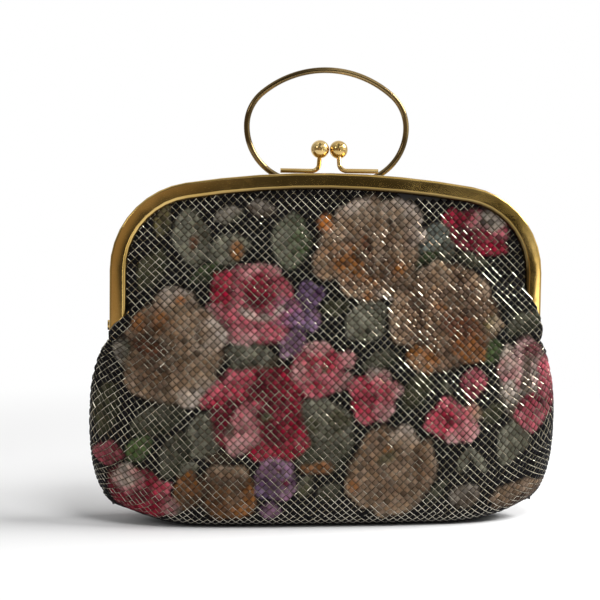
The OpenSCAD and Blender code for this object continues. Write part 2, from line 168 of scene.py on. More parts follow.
def solid(name, points, faces, materials, which=None, smooth=True):
    """A mesh object of points in millimetres and of arrays of faces, each array with one number of corners.
    which holds the number of each face's material."""
    corners = np.concatenate([f.ravel() for f in faces]).astype(np.int32)
    sizes = np.concatenate([np.full(len(f), f.shape[1]) for f in faces])
    mesh = bpy.data.meshes.new(name)
    mesh.vertices.add(len(points))
    mesh.vertices.foreach_set("co", (points * MM).astype(np.float32).ravel())
    mesh.loops.add(len(corners))
    mesh.loops.foreach_set("vertex_index", corners)
    mesh.polygons.add(len(sizes))
    mesh.polygons.foreach_set("loop_start", np.concatenate([[0], np.cumsum(sizes)[:-1]]).astype(np.int32))
    if which is not None:
        mesh.polygons.foreach_set("material_index", which.astype(np.int32))
    mesh.polygons.foreach_set("use_smooth", np.full(len(sizes), smooth))
    mesh.update(calc_edges=True)
    for material in materials:
        mesh.materials.append(material)
    made = bpy.data.objects.new(name, mesh)
    bpy.context.scene.collection.objects.link(made)
    return made


def mark(made, name, values):
    """Stores one number for each point of a mesh, which its material reads by this name."""
    made.data.attributes.new(name, "FLOAT", "POINT").data.foreach_set("value", values.astype(np.float32))


def inwards(x, z):
    """Distance in from the frame's outer edge: from a leg's line, a shoulder's arc or the top's arc."""
    x, low = np.abs(x), TOP_Z - TOP_R
    shoulder = SHOULDER_R - np.hypot(x - SHOULDER_X, z - SHOULDER_Z)
    top = TOP_R - np.hypot(x, z - low)
    over = x / (z - low) > SHOULDER_X / (SHOULDER_Z - low)
    return np.where(z < SHOULDER_Z, LEG_X - x, np.where(over, shoulder, top))


def rounded(node, body, material):
    """A copy of a CAD node with its loose triangles joined, shaded smooth up to the angle of a crease.
    Normals are weighted by area, so the flat band stays flat. The lip is marked for painted shade, a dim
    reflection, fading out towards the left end."""
    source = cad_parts[node].data
    places = np.empty(len(source.vertices) * 3)
    corners = np.empty(len(source.loops), np.int32)
    source.vertices.foreach_get("co", places)
    source.loops.foreach_get("vertex_index", corners)
    points, number = np.unique(np.round(places.reshape(-1, 3) / MM, 3), axis=0, return_inverse=True)
    triangles = number.ravel()[corners].reshape(-1, 3)
    triangles = triangles[(triangles != np.roll(triangles, 1, 1)).all(1)]
    made = solid(node + "_brass", points, [triangles], [material])
    lip = ease((inwards(points[:, 0], points[:, 2]) - LIP_IN) / LIP_FADE)
    # Painted shade for a dim reflection on the lip, fading out at the left end.
    mark(made, "lip_painted_shade", lip * ease((points[:, 0] - LIP_SHADE_X) / LIP_SHADE_FADE))
    made.data.set_sharp_from_angle(angle=math.radians(CREASE))
    flat = made.modifiers.new("flat", "WEIGHTED_NORMAL")
    flat.weight, flat.keep_sharp = FLATNESS, True
    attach(made, body)
    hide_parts(node)


def dress(names, material):
    """Gives CAD nodes one material in place of their own."""
    for name in names:
        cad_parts[name].data.materials.clear()
        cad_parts[name].data.materials.append(material)


brass = principled("brass", shaded_lip_gilt, Metallic=1.0)
rounded("rear_frame", "rear", brass)
rounded("front_frame", "front", brass)
dress(("left_hinge_rivet", "right_hinge_rivet"), brass)


# Retaining cords: cotton cord, one pressed into each frame channel over the edges of mesh and lining.
# It holds both edges there, out of sight behind the lip.

COTTON_SCALE = 900.0


def fibres(shade):
    """Dark cotton, mottled by its fibres."""
    return {"Base Color": shade.noise(COTTON_SCALE).mix(srgb(30, 26, 24), srgb(62, 56, 50))}


cotton = principled("cotton", fibres, Roughness=0.9)
dress(("rear_retaining_cord", "front_retaining_cord"), cotton)


# Lining: black satin in two panels, sewn to each other at the sides and the bottom, held in the channels.
# Each panel follows the mesh just behind it.

# The bag's outline: S is a share of the lower part's length, Y a depth, Z a height and X a half width.
# LEAN, NECK, TURN and WAIST are points that a curve is drawn towards.
FOOT_S, WIDE_S, BELLY_S = 0.125, 0.5, 0.42
FOOT_Y, BELLY_Y, SEAM_Y, NECK_Y, CHANNEL_Y = 11.0, 22.0, 18.5, 5.2, 4.6
BELLY_Z, LEAN_Z, SEAM_Z, NECK_Z, CHANNEL_Z, EDGE_Z = 28.0, 54.0, 80.0, 129.0, 148.1, 149.6
CORNER_X, WIDE_X, SEAM_X = 93.0, 103.5, 95.2
CORNER_Z, TURN_Z, WIDE_Z, WAIST_Z = 8.0, 15.6, 46.0, 71.8
FULLNESS, UPTURN = 2.6, 2.4
RISE_Z, CALM_Z = 58.0, 148.0
EDGE_IN = 3.0
PROFILE_STEPS = 1200
PANEL_ROWS, PANEL_COLUMNS, PANEL_SHORT = 76, 41, 1.6
BEHIND, THICK = 1.3, 0.5
TUCK_SHARE, TUCK_LEFT_Z, TUCK_RIGHT_Z, TUCK_RUN, TUCK_OUT, TUCK_BACK = 0.88, 91.5, 103.0, 10.0, 2.0, 2.5
SATIN_SCALE = 120.0

# The cloth's edge beside the leg ends, right and left: rows of height, distance from the middle, and depth.
EDGES = {
    1: np.array([
        [80, 84, 88, 95, 101, 104.5, 108, 111],
        [95.2, 95.6, 95.2, 92.6, 88.6, 86.6, 88.5, 91.5],
        [6.4, 7.8, 8.4, 8.7, 8.5, 7.2, 5.2, 4.6],
    ]),
    -1: np.array([
        [80, 84, 87, 90, 92.5, 95, 98, 101],
        [95.2, 95.2, 93.5, 89.5, 86.6, 86.6, 88.5, 91.5],
        [6.4, 7.9, 8.4, 8.6, 7.3, 5.6, 4.9, 4.6],
    ]),
}


def bend(a, b, c, t):
    """Quadratic curve from a to c drawn towards b, at t from 0 to 1."""
    return a * (1 - t) ** 2 + 2 * b * t * (1 - t) + c * t * t


def ripple(x, z, seed):
    """Smooth uneven field from -1 to 1, a sum of three waves across the cloth."""
    first, second = np.sin(0.31 * x + 0.22 * z + seed), np.sin(0.52 * z - 0.37 * x + 2.3 * seed)
    return (first + second + 0.6 * np.sin(0.9 * x + 0.71 * z)) / 2.6


def profile(b):
    """Depth and height of the bag's middle at length b up the cloth from the bottom fold, the share s of the
    lower part there, and the whole length. A flat foot, a full curve, a long lean to the hinge and a lean
    into the channel, measured along the line."""
    s = np.linspace(0, 1, PROFILE_STEPS)
    belly, lean = (s - FOOT_S) / (BELLY_S - FOOT_S), (s - BELLY_S) / (1 - BELLY_S)
    low = np.where(s < BELLY_S, bend(FOOT_Y, BELLY_Y, BELLY_Y, belly), bend(BELLY_Y, BELLY_Y, SEAM_Y, lean))
    low = np.where(s < FOOT_S, FOOT_Y * s / FOOT_S, low)
    high = np.where(s < BELLY_S, bend(0, 0, BELLY_Z, belly), bend(BELLY_Z, LEAN_Z, SEAM_Z, lean))
    high = np.where(s < FOOT_S, 0, high)
    depth = np.concatenate([low, bend(SEAM_Y, NECK_Y, CHANNEL_Y, s[1:]), [CHANNEL_Y]])
    height = np.concatenate([high, bend(SEAM_Z, NECK_Z, CHANNEL_Z, s[1:]), [EDGE_Z]])
    share = np.concatenate([s, np.full(len(s), 1.0)])
    run = np.concatenate([[0], np.cumsum(np.hypot(np.diff(depth), np.diff(height)))])
    return np.interp(b, run, depth), np.interp(b, run, height), np.interp(b, run, share), run[-1]


def row(b, u, side):
    """Points of the bag's front across one half, for each length b and each share u from middle to edge.
    Below the hinge a full round that turns up to the side seam; above it a shallow round into the channel."""
    depth, height, s, _ = (np.asarray(v)[:, None] if np.ndim(v) else v for v in profile(b))
    u = u[None, :]
    full, flat = np.sqrt(1 - u**FULLNESS), (1 - u * u) ** 1.5
    lower, upper = s / WIDE_S, (s - WIDE_S) / (1 - WIDE_S)
    low_x = np.where(s < WIDE_S, bend(CORNER_X, WIDE_X, WIDE_X, lower), bend(WIDE_X, WIDE_X, SEAM_X, upper))
    low_z = np.where(s < WIDE_S, bend(CORNER_Z, TURN_Z, WIDE_Z, lower), bend(WIDE_Z, WAIST_Z, SEAM_Z, upper))
    round_low = full + (flat - full) * 0.5 * ease((s - 0.6) / 0.4)
    turn = np.maximum(0, (u - 0.5) / 0.5) ** UPTURN
    zs, xs, ys = EDGES[side]
    drop = np.clip(height - SHOULDER_Z, 0, SHOULDER_R - EDGE_IN)
    shoulder = SHOULDER_X + np.sqrt(np.maximum(0, (SHOULDER_R - EDGE_IN) ** 2 - drop**2))
    arch = np.sqrt(np.maximum(0, (TOP_R - EDGE_IN) ** 2 - (height + TOP_R - TOP_Z) ** 2))
    high_x = np.where(height < zs[-1], np.interp(height, zs, xs), np.minimum(shoulder, arch))
    edge = np.interp(height, zs, ys) * ease((height - RISE_Z) / (SEAM_Z - RISE_Z))
    round_high = full + (flat - full) * (0.5 + 0.3 * ease((height - SEAM_Z) / 14))
    low = s < 1
    x = u * np.where(low, low_x, high_x)
    y = -edge - (depth - edge) * np.where(low, round_low, round_high)
    z = np.where(low, height + (low_z - height) * turn, height + 0 * u)
    calm = ease(z / 25) * ease((1 - u) / 0.2) * ease((CALM_Z - z) / 20)
    uneven = 0.7 * ripple(0.4 * side * x, 0.4 * z, 0.9) * calm
    return np.stack([side * x, y + uneven, z], -1)


def grid_faces(rows, columns):
    """Quads of a grid of rows and columns whose points are numbered row by row."""
    i = (np.arange(rows - 1)[:, None] * columns + np.arange(columns - 1)[None, :]).ravel()
    return np.stack([i, i + 1, i + columns + 1, i + columns], 1)


def panel(name, front, material):
    """A thin sheet just behind the mesh: two grids set off along its normals and joined by four rims, with
    side edges tucked out and back behind the lip above the leg ends. Also its flat width, length and area."""
    total = profile(0.0)[3]
    b, u = np.linspace(0, total - PANEL_SHORT, PANEL_ROWS), np.linspace(0, 1, PANEL_COLUMNS) ** 0.8
    face = np.concatenate([row(b, u, -1)[:, ::-1], row(b, u, 1)[:, 1:]], 1)
    normal = np.cross(np.gradient(face, axis=1), np.gradient(face, axis=0))
    normal /= np.linalg.norm(normal, axis=2, keepdims=True) + 1e-9
    share = np.concatenate([-u[::-1], u[1:]])
    above = face[..., 2] - np.where(share < 0, TUCK_LEFT_Z, TUCK_RIGHT_Z)
    tuck = ease(above / 3) * ease((TUCK_RUN - above) / 4)
    tuck *= ease((np.abs(share) - TUCK_SHARE) / (1 - TUCK_SHARE))
    face[..., 0] += tuck * TUCK_OUT * np.sign(share)
    face[..., 1] += tuck * TUCK_BACK
    outer, inner = face - normal * BEHIND, face - normal * (BEHIND + THICK)
    rows, columns = face.shape[:2]
    n = rows * columns
    quads = grid_faces(rows, columns)
    ring = np.concatenate([
        np.arange(columns), np.arange(2 * columns - 1, n, columns),
        np.arange(n - 2, n - columns - 1, -1), np.arange(n - 2 * columns, 0, -columns),
    ])
    rim = np.stack([ring, ring + n, np.roll(ring, -1) + n, np.roll(ring, -1)], 1)
    points = np.concatenate([outer.reshape(-1, 3), inner.reshape(-1, 3)])
    faces = np.concatenate([quads, quads[:, ::-1] + n, rim])
    if not front:
        points, faces = points * [1, -1, 1], faces[:, ::-1]
    made = solid(name, points, [faces], [material])
    middle = (outer + inner) / 2 * MM
    a, c = middle[1:, 1:] - middle[:-1, :-1], middle[1:, :-1] - middle[:-1, 1:]
    area = np.linalg.norm(np.cross(a, c), axis=2).sum() / 2
    width = np.linalg.norm(np.diff(middle, axis=1), axis=2).sum(1).max()
    length = np.linalg.norm(np.diff(middle, axis=0), axis=2).sum(0).max()
    return made, float(width), float(length), float(area)


def weave(shade):
    """Black satin, faintly mottled."""
    return {"Base Color": shade.noise(SATIN_SCALE).mix(srgb(16, 14, 16), srgb(30, 27, 30))}


satin = principled("satin", weave, Roughness=0.42, Sheen_Weight=0.15)
front_lining, width, length, area = panel("front_satin_panel", True, satin)
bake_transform(front_lining)
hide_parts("front_lining")
rear_lining, width, length, area = panel("rear_satin_panel", False, satin)
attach(rear_lining, "rear")
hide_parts("pouch_lining")


# Tile mesh: small square metal tiles set on their points and linked at their corners, with turned-down edges.
# A floral pattern is printed on the enamelled tops; the turned edges stay bare metal and catch the light.

STEP_X, STEP_Z = 1.75, 1.72
REACH, ROW_STEPS, HEM = 72, 500, 2.2
TOP_TILE_Z, FLAT_Z = 149.0, 3.0
SAG, SAG_LEFT, SAG_RIGHT, SAG_FADE = 3.0, -2.0, 70.0, 12.0
DIP, DIP_X, DIP_FADE, DIP_REACH = 4.6, 44.0, 8.0, 2.2
SEED, TILT, DENT, SHIFT = 7, 0.12, 0.035, 0.035
TINT, FADE, WARM_GREY = 0.24, 0.3, (1.06, 0.98, 0.96)
BLACK_INK, PALE_INK, LEAST_RIM_SHADE = 0.008, 0.058, 0.35
WAVER, SHADOW = 0.9, 0.28
ENAMEL_SCALE = 500.0

# Rings of a tile, from its turned-down edge to the enamel: share of the half diagonal, height, shift to the
# lower left, and share of the dent. The enamel starts at the third ring, and each tile ends with its crown.
RINGS = (0.94, -1.0, 0, 0), (0.985, -0.43, 0, 1), (0.9, -0.36, SHIFT, 0), (0.55, -0.1, SHIFT, 0)
ENAMEL, EACH = 8, 4 * len(RINGS) + 1

# Painted shade and highlight on the enamel, as if lit from above: brightness at a tile's right, upper, left
# and lower corner, about its middle and at its crown.
DOME_SHADE = np.repeat([0.55, 0.7, 0.45, 0.25, 0.95, 1.1], [1, 1, 1, 1, 4, 1])

INKS = {
    "night": (12, 10, 12), "moss": (32, 34, 22), "olive": (60, 58, 38), "straw": (96, 86, 52),
    "green": (54, 66, 38), "lime": (74, 92, 48), "sage": (72, 71, 57), "fog": (108, 107, 91),
    "mist": (98, 106, 100), "stone": (116, 108, 98), "umber": (56, 43, 31), "bark": (54, 37, 25),
    "tan": (100, 75, 54), "bisque": (128, 105, 82), "pearl": (156, 141, 128), "amber": (124, 76, 32),
    "orange": (164, 96, 36), "russet": (82, 44, 24), "wine": (78, 13, 26), "crimson": (140, 14, 42),
    "rouge": (158, 68, 80), "blush": (164, 118, 116), "plum": (66, 40, 64), "lilac": (98, 76, 106),
    "mauve": (126, 90, 114),
}

# Shapes of the print, from the lowest layer up: kind, middle across and up, half length and half width in
# millimetres, turn in degrees, and one to three inks. They were picked on the photograph and turned
# into millimetres through its camera.
PRINT = [
    ("leaf", -72, 131, 7, 4, 70, "olive", "straw"),
    ("leaf", -60, 124, 13, 8.5, 100, "sage", "fog"),
    ("leaf", -77, 110, 10, 6.5, 60, "moss", "olive"),
    ("leaf", -44, 134, 6.5, 3.5, 20, "sage", "stone"),
    ("leaf", -44, 119, 10.5, 7, 20, "sage", "fog"),
    ("touch", -59, 122, 2, 4, 0, "russet"),
    ("touch", -40, 119, 3.5, 4.5, 0, "amber"),
    ("leaf", -53, 109, 8.5, 4, 25, "moss", "green"),
    ("leaf", -30, 137, 6.5, 4, -10, "umber", "stone"),
    ("leaf", -17, 123, 13.5, 9, 85, "green", "fog"),
    ("leaf", -96, 51, 12.5, 6.5, 80, "moss", "olive"),
    ("leaf", -74, 47, 12.5, 7, 20, "moss", "sage"),
    ("leaf", -54, 41, 12, 8.5, 60, "sage", "fog"),
    ("leaf", -66, 32, 11, 7.5, 65, "moss", "sage"),
    ("leaf", -82, 34, 7.5, 5, 50, "green", "lime"),
    ("leaf", -61, 26, 5, 3, 30, "sage", "fog"),
    ("leaf", -48, 31, 6.5, 3.5, 0, "bark", "umber"),
    ("leaf", -34, 73, 12.5, 8.5, -20, "sage", "fog"),
    ("leaf", 15, 89, 11, 9, 40, "sage", "fog"),
    ("leaf", 2, 95, 6, 4, 20, "moss", "olive"),
    ("leaf", 21, 72, 8.5, 4.5, 25, "moss", "sage"),
    ("leaf", 37, 59, 9.5, 6, 50, "moss", "olive"),
    ("leaf", 47, 122, 11.5, 9, 60, "sage", "mist"),
    ("leaf", 42, 115, 7, 4, 30, "moss", "green"),
    ("leaf", 63, 116, 8, 3.5, -15, "moss", "sage"),
    ("leaf", 86, 88, 9.5, 5.5, 20, "moss", "sage"),
    ("leaf", 72, 76, 5.5, 4.5, 60, "green", "lime"),
    ("leaf", 71, 49, 6, 4.5, 40, "moss", "olive"),
    ("leaf", 81, 37, 12, 8, 60, "sage", "fog"),
    ("leaf", 58, 29, 6.5, 2.5, 65, "sage", "fog"),
    ("leaf", 65, 29, 7, 2.5, -60, "sage", "fog"),
    ("leaf", 46, 16, 7, 3, 45, "moss", "sage"),
    ("leaf", 59, 13, 7.5, 6.5, 30, "umber", "stone"),
    ("leaf", 84, 13, 15.5, 6.5, 15, "bark", "bisque"),
    ("leaf", -1, 16, 6, 5, 30, "moss", "sage"),
    ("leaf", -11, 19, 6, 4, 70, "olive", "sage"),
    ("leaf", 50, 61, 4, 2, -60, "moss", "sage"),
    ("petal", -4, 40, 15.5, 13.5, 90, "moss", "sage", "fog"),
    ("petal", -6, 53, 4, 7, 90, "sage", "fog"),
    ("touch", 3, 47, 5, 5, 0, "olive"),
    ("touch", -9, 45, 4.5, 4.5, 0, "olive"),
    ("touch", -6, 27, 7.5, 2.5, 0, "amber"),
    ("petal", -9, 100, 6.5, 6, 60, "plum", "lilac"),
    ("petal", -11, 90, 6, 5, 0, "plum", "lilac", "mauve"),
    ("petal", -17, 80, 7, 5.5, 220, "plum", "mauve"),
    ("touch", -14, 96, 1.5, 2, 0, "plum"),
    ("touch", -6, 101, 2, 2, 0, "plum"),
    ("petal", -33, 96, 18, 16, 150, "rouge", "rouge"),
    ("petal", -47, 102, 9, 4.5, 80, "crimson", "crimson"),
    ("petal", -31, 108, 5.5, 10, 90, "crimson", "rouge", "blush"),
    ("petal", -50, 93, 4, 4, 200, "rouge", "blush"),
    ("petal", -39, 83, 4.5, 8, 270, "rouge", "blush"),
    ("petal", -21, 93, 9.5, 6.5, 340, "rouge", "lilac"),
    ("petal", -31, 101, 7, 7, 90, "wine", "crimson"),
    ("touch", -32, 99, 3.5, 2.5, 0, "wine"),
    ("touch", -36, 92, 4, 2, -35, "pearl"),
    ("touch", -29, 90, 5, 1.5, 5, "pearl"),
    ("touch", -22, 94, 4, 1.5, 50, "pearl"),
    ("petal", -68, 77, 22, 21, 270, "tan", "bisque"),
    ("petal", -67, 95, 8, 9.5, 100, "tan", "bisque", "pearl"),
    ("petal", -77, 88, 6.5, 8.5, 120, "bark", "tan"),
    ("touch", -82, 87, 3, 4.5, 0, "amber"),
    ("touch", -73, 88, 3, 5.5, 0, "amber"),
    ("touch", -64, 97, 2, 2, 0, "orange"),
    ("petal", -78, 78, 4, 8, 250, "bark", "russet"),
    ("petal", -58, 83, 12.5, 11, 0, "tan", "bisque", "pearl"),
    ("touch", -55, 91, 2.5, 3, 0, "tan"),
    ("petal", -79, 65, 9, 9.5, 235, "bark", "tan", "bisque"),
    ("petal", -59, 63, 11, 10.5, 300, "tan", "bisque", "pearl"),
    ("touch", -73, 74, 10, 1.5, 25, "bark"),
    ("touch", -58, 58, 5, 3.5, 30, "pearl"),
    ("petal", -89, 76, 3.5, 5.5, 180, "sage", "stone"),
    ("touch", -56, 82, 1.5, 5.5, 10, "bark"),
    ("touch", -24, 71, 3.5, 4, 0, "umber"),
    ("petal", -32, 51, 20.5, 19.5, 0, "wine", "crimson"),
    ("leaf", -47, 59, 11, 5, 35, "crimson", "rouge"),
    ("petal", -39, 62, 7.5, 7, 120, "crimson", "rouge"),
    ("petal", -23, 62, 12, 7, 10, "wine", "crimson"),
    ("petal", -14, 70, 5, 4, 40, "crimson", "rouge"),
    ("petal", -37, 44, 12.5, 7.5, 250, "rouge", "blush"),
    ("petal", -21, 43, 13, 10, 300, "wine", "crimson"),
    ("petal", -28, 33, 3.5, 8, 270, "crimson", "crimson"),
    ("touch", -28, 48, 2, 2.5, 0, "green"),
    ("touch", -26, 42, 4, 5.5, 20, "wine"),
    ("touch", -43, 43, 2, 4.5, 0, "umber"),
    ("petal", -6, 68, 11, 11, 0, "rouge", "rouge"),
    ("petal", -6, 76, 5, 6, 90, "crimson", "blush"),
    ("petal", -13, 68, 5, 5, 180, "crimson", "blush"),
    ("petal", 6, 73, 4.5, 4, 20, "rouge", "blush"),
    ("petal", -7, 60, 4, 5.5, 270, "crimson", "rouge"),
    ("petal", 5, 64, 3.5, 4.5, 320, "rouge", "stone"),
    ("touch", -1, 72, 3.5, 5.5, 0, "crimson"),
    ("touch", -3, 69, 1.5, 1.5, 0, "olive"),
    ("petal", 18, 57, 9.5, 9.5, 0, "crimson", "rouge"),
    ("petal", 20, 66, 4, 5.5, 80, "rouge", "stone"),
    ("petal", 11, 61, 5, 4, 160, "crimson", "rouge"),
    ("petal", 26, 60, 5, 4, 10, "crimson", "blush"),
    ("petal", 14, 50, 4.5, 4, 250, "crimson", "rouge"),
    ("petal", 22, 51, 4.5, 5, 300, "rouge", "blush"),
    ("touch", 18, 57, 2, 2, 0, "wine"),
    ("petal", 52, 46, 10, 8.5, 0, "crimson", "rouge"),
    ("petal", 45, 46, 5.5, 6, 190, "crimson", "rouge"),
    ("petal", 50, 52, 4.5, 4, 100, "crimson", "rouge"),
    ("petal", 61, 49, 5.5, 4.5, 15, "rouge", "bisque"),
    ("petal", 60, 42, 4.5, 4.5, 330, "rouge", "blush"),
    ("petal", 53, 40, 3.5, 4.5, 270, "rouge", "blush"),
    ("touch", 52, 47, 2, 2, 0, "wine"),
    ("petal", 63, 62, 6.5, 5.5, 60, "wine", "rouge"),
    ("petal", 88, 61, 20, 13, 90, "umber", "stone", "blush"),
    ("petal", 80, 67, 11.5, 5, 100, "rouge", "pearl"),
    ("petal", 80, 58, 6, 4, 90, "stone", "pearl"),
    ("touch", 90, 76, 5, 4.5, 0, "wine"),
    ("touch", 88, 67, 2.5, 8.5, 0, "umber"),
    ("petal", 98, 61, 13, 5, 90, "wine", "rouge"),
    ("petal", 90, 49, 8.5, 8.5, 270, "wine", "rouge"),
    ("petal", 17, 120, 21.5, 21, 90, "tan", "bisque"),
    ("petal", 12, 134, 7, 9.5, 100, "tan", "bisque", "pearl"),
    ("petal", 30, 132, 10.5, 9.5, 60, "tan", "bisque", "pearl"),
    ("petal", 37, 126, 6, 5, 20, "tan", "pearl"),
    ("petal", 2, 115, 11, 7.5, 200, "amber", "bisque"),
    ("petal", 8, 112, 8, 7, 230, "bark", "amber", "bisque"),
    ("petal", 13, 104, 5.5, 9.5, 260, "amber", "tan", "bisque"),
    ("petal", 29, 108, 8.5, 8, 320, "bark", "tan", "bisque"),
    ("touch", 30, 111, 3, 4, 0, "amber"),
    ("touch", -2, 131, 3, 4.5, 0, "orange"),
    ("touch", 16, 122, 2.5, 5.5, 15, "russet"),
    ("touch", 18, 112, 1.5, 7, 0, "bark"),
    ("touch", 27, 130, 1.5, 4, 20, "bark"),
    ("touch", 16, 100, 2, 2, 0, "amber"),
    ("petal", 23, 101, 4, 2, 320, "bisque", "pearl"),
    ("petal", 66, 129, 14, 9.5, 0, "wine", "rouge"),
    ("petal", 56, 133, 5.5, 4.5, 160, "wine", "crimson"),
    ("petal", 70, 133, 9.5, 5, 10, "rouge", "stone", "pearl"),
    ("petal", 69, 123, 10.5, 5, 340, "wine", "crimson"),
    ("petal", 50, 91, 23.5, 22, 0, "tan", "tan"),
    ("petal", 46, 108, 6.5, 8.5, 95, "tan", "bisque"),
    ("petal", 62, 102, 8.5, 9, 40, "bark", "tan", "bisque"),
    ("petal", 33, 91, 8, 12.5, 180, "bark", "tan", "bisque"),
    ("petal", 60, 81, 11.5, 8, 300, "russet", "amber"),
    ("petal", 40, 74, 6.5, 7, 250, "bark", "amber", "bisque"),
    ("petal", 72, 88, 4, 4.5, 0, "straw", "bisque"),
    ("touch", 51, 89, 3.5, 4.5, 0, "russet"),
    ("touch", 48, 95, 3, 1.5, 0, "amber"),
    ("touch", 59, 86, 4, 5, 0, "russet"),
    ("touch", 42, 69, 2.5, 2, 0, "amber"),
    ("petal", 26, 25, 19, 18.5, 270, "tan", "bisque"),
    ("petal", 31, 38, 6.5, 7, 80, "tan", "bisque", "pearl"),
    ("petal", 41, 27, 5, 11, 0, "bark", "tan", "bisque"),
    ("petal", 16, 19, 9.5, 9, 210, "tan", "bisque"),
    ("petal", 27, 12, 7, 9.5, 280, "tan", "bisque"),
    ("touch", 24, 31, 4.5, 3, 30, "olive"),
    ("touch", 24, 34, 2, 1.5, 0, "amber"),
    ("touch", 10, 19, 2.5, 4, 0, "amber"),
    ("petal", -95, 32, 6.5, 4.5, 180, "wine", "rouge"),
    ("petal", -82, 16, 14.5, 10, 330, "wine", "crimson"),
    ("petal", -86, 21, 7, 6, 130, "rouge", "pearl"),
    ("touch", -87, 21, 3.5, 3, 0, "pearl"),
    ("petal", -79, 11, 7, 4.5, 300, "wine", "crimson"),
    ("petal", -72, 17, 4.5, 4, 30, "crimson", "rouge"),
    ("petal", -68, 10, 5, 4.5, 330, "rouge", "stone"),
    ("petal", -61, 17, 9, 5.5, 90, "bark", "amber"),
    ("petal", -44, 16, 12, 12.5, 0, "bark", "amber"),
    ("petal", -44, 23, 5.5, 9.5, 90, "bark", "tan", "bisque"),
    ("touch", -55, 17, 1, 8, 0, "bark"),
    ("touch", -41, 14, 4, 3.5, 0, "tan"),
    ("petal", -24, 22, 8.5, 8.5, 90, "plum", "mauve"),
    ("petal", -27, 26, 4.5, 4.5, 120, "plum", "mauve"),
    ("petal", -20, 26, 4.5, 4.5, 60, "lilac", "mauve"),
    ("petal", -20, 18, 4.5, 4.5, 320, "plum", "mauve"),
    ("petal", -28, 18, 4.5, 4.5, 230, "plum", "lilac"),
    ("touch", -23, 26, 1.5, 1.5, 0, "wine"),
    ("touch", -20, 20, 1.5, 1.5, 0, "wine"),
    ("petal", -26, 8, 3.5, 5, 270, "plum", "mauve"),
]


def printed(x, z):
    """Linear ink colours at points of the cloth. Each shape is an ellipse in its own turned axes, p along and
    q across: a leaf is pointed at both ends and paler on one side of its rib; a petal points away from its
    flower's heart and is paler towards its wavy rim, with a shadow about it; a touch is a soft spot."""
    ink = {name: np.array(srgb(*c)[:3]) for name, c in INKS.items()}
    x, z = x + WAVER * ripple(x, z, 0.4), z + WAVER * ripple(z, x, 1.7)
    colour = np.tile(ink["night"], (len(x), 1))
    for number, (kind, cx, cz, length, width, turn, *names) in enumerate(PRINT):
        near = np.flatnonzero(np.hypot(x - cx, z - cz) < 1.3 * max(length, width))
        dx, dz = x[near] - cx, z[near] - cz
        cos, sin = math.cos(math.radians(turn)), math.sin(math.radians(turn))
        p, q = (dx * cos + dz * sin) / length, (dz * cos - dx * sin) / width
        stir = ripple(1.6 * dx, 1.6 * dz, 1.1 * number)
        if kind == "leaf":
            cover = ease(((1 - np.minimum(1, p * p)) ** 0.7 - np.abs(q)) / 0.25)
            tone = 0.45 + 0.3 * np.tanh(3 * q) + 0.3 * stir
        elif kind == "petal":
            edge = 1.06 + 0.06 * np.sin(4 * np.arctan2(q, p) + number) - np.hypot(p, q)
            colour[near] *= 1 - SHADOW * ease((edge + 0.3) / 0.3)[:, None]
            cover = ease(edge / 0.16)
            tone = 0.5 + 0.5 * p + 0.25 * stir
        else:
            cover = 0.85 * ease((1.2 - np.hypot(p, q)) / 0.6)
            tone = np.zeros(len(near))
        tone = np.clip(tone, 0, 1)[:, None] * (len(names) - 1)
        inks = np.stack([ink[name] for name in names])
        low = np.minimum(tone.astype(int), max(len(names) - 2, 0))[:, 0]
        high = np.minimum(low + 1, len(names) - 1)
        paint = inks[low] + (inks[high] - inks[low]) * (tone - low[:, None])
        colour[near] += (paint - colour[near]) * cover[:, None]
    return colour


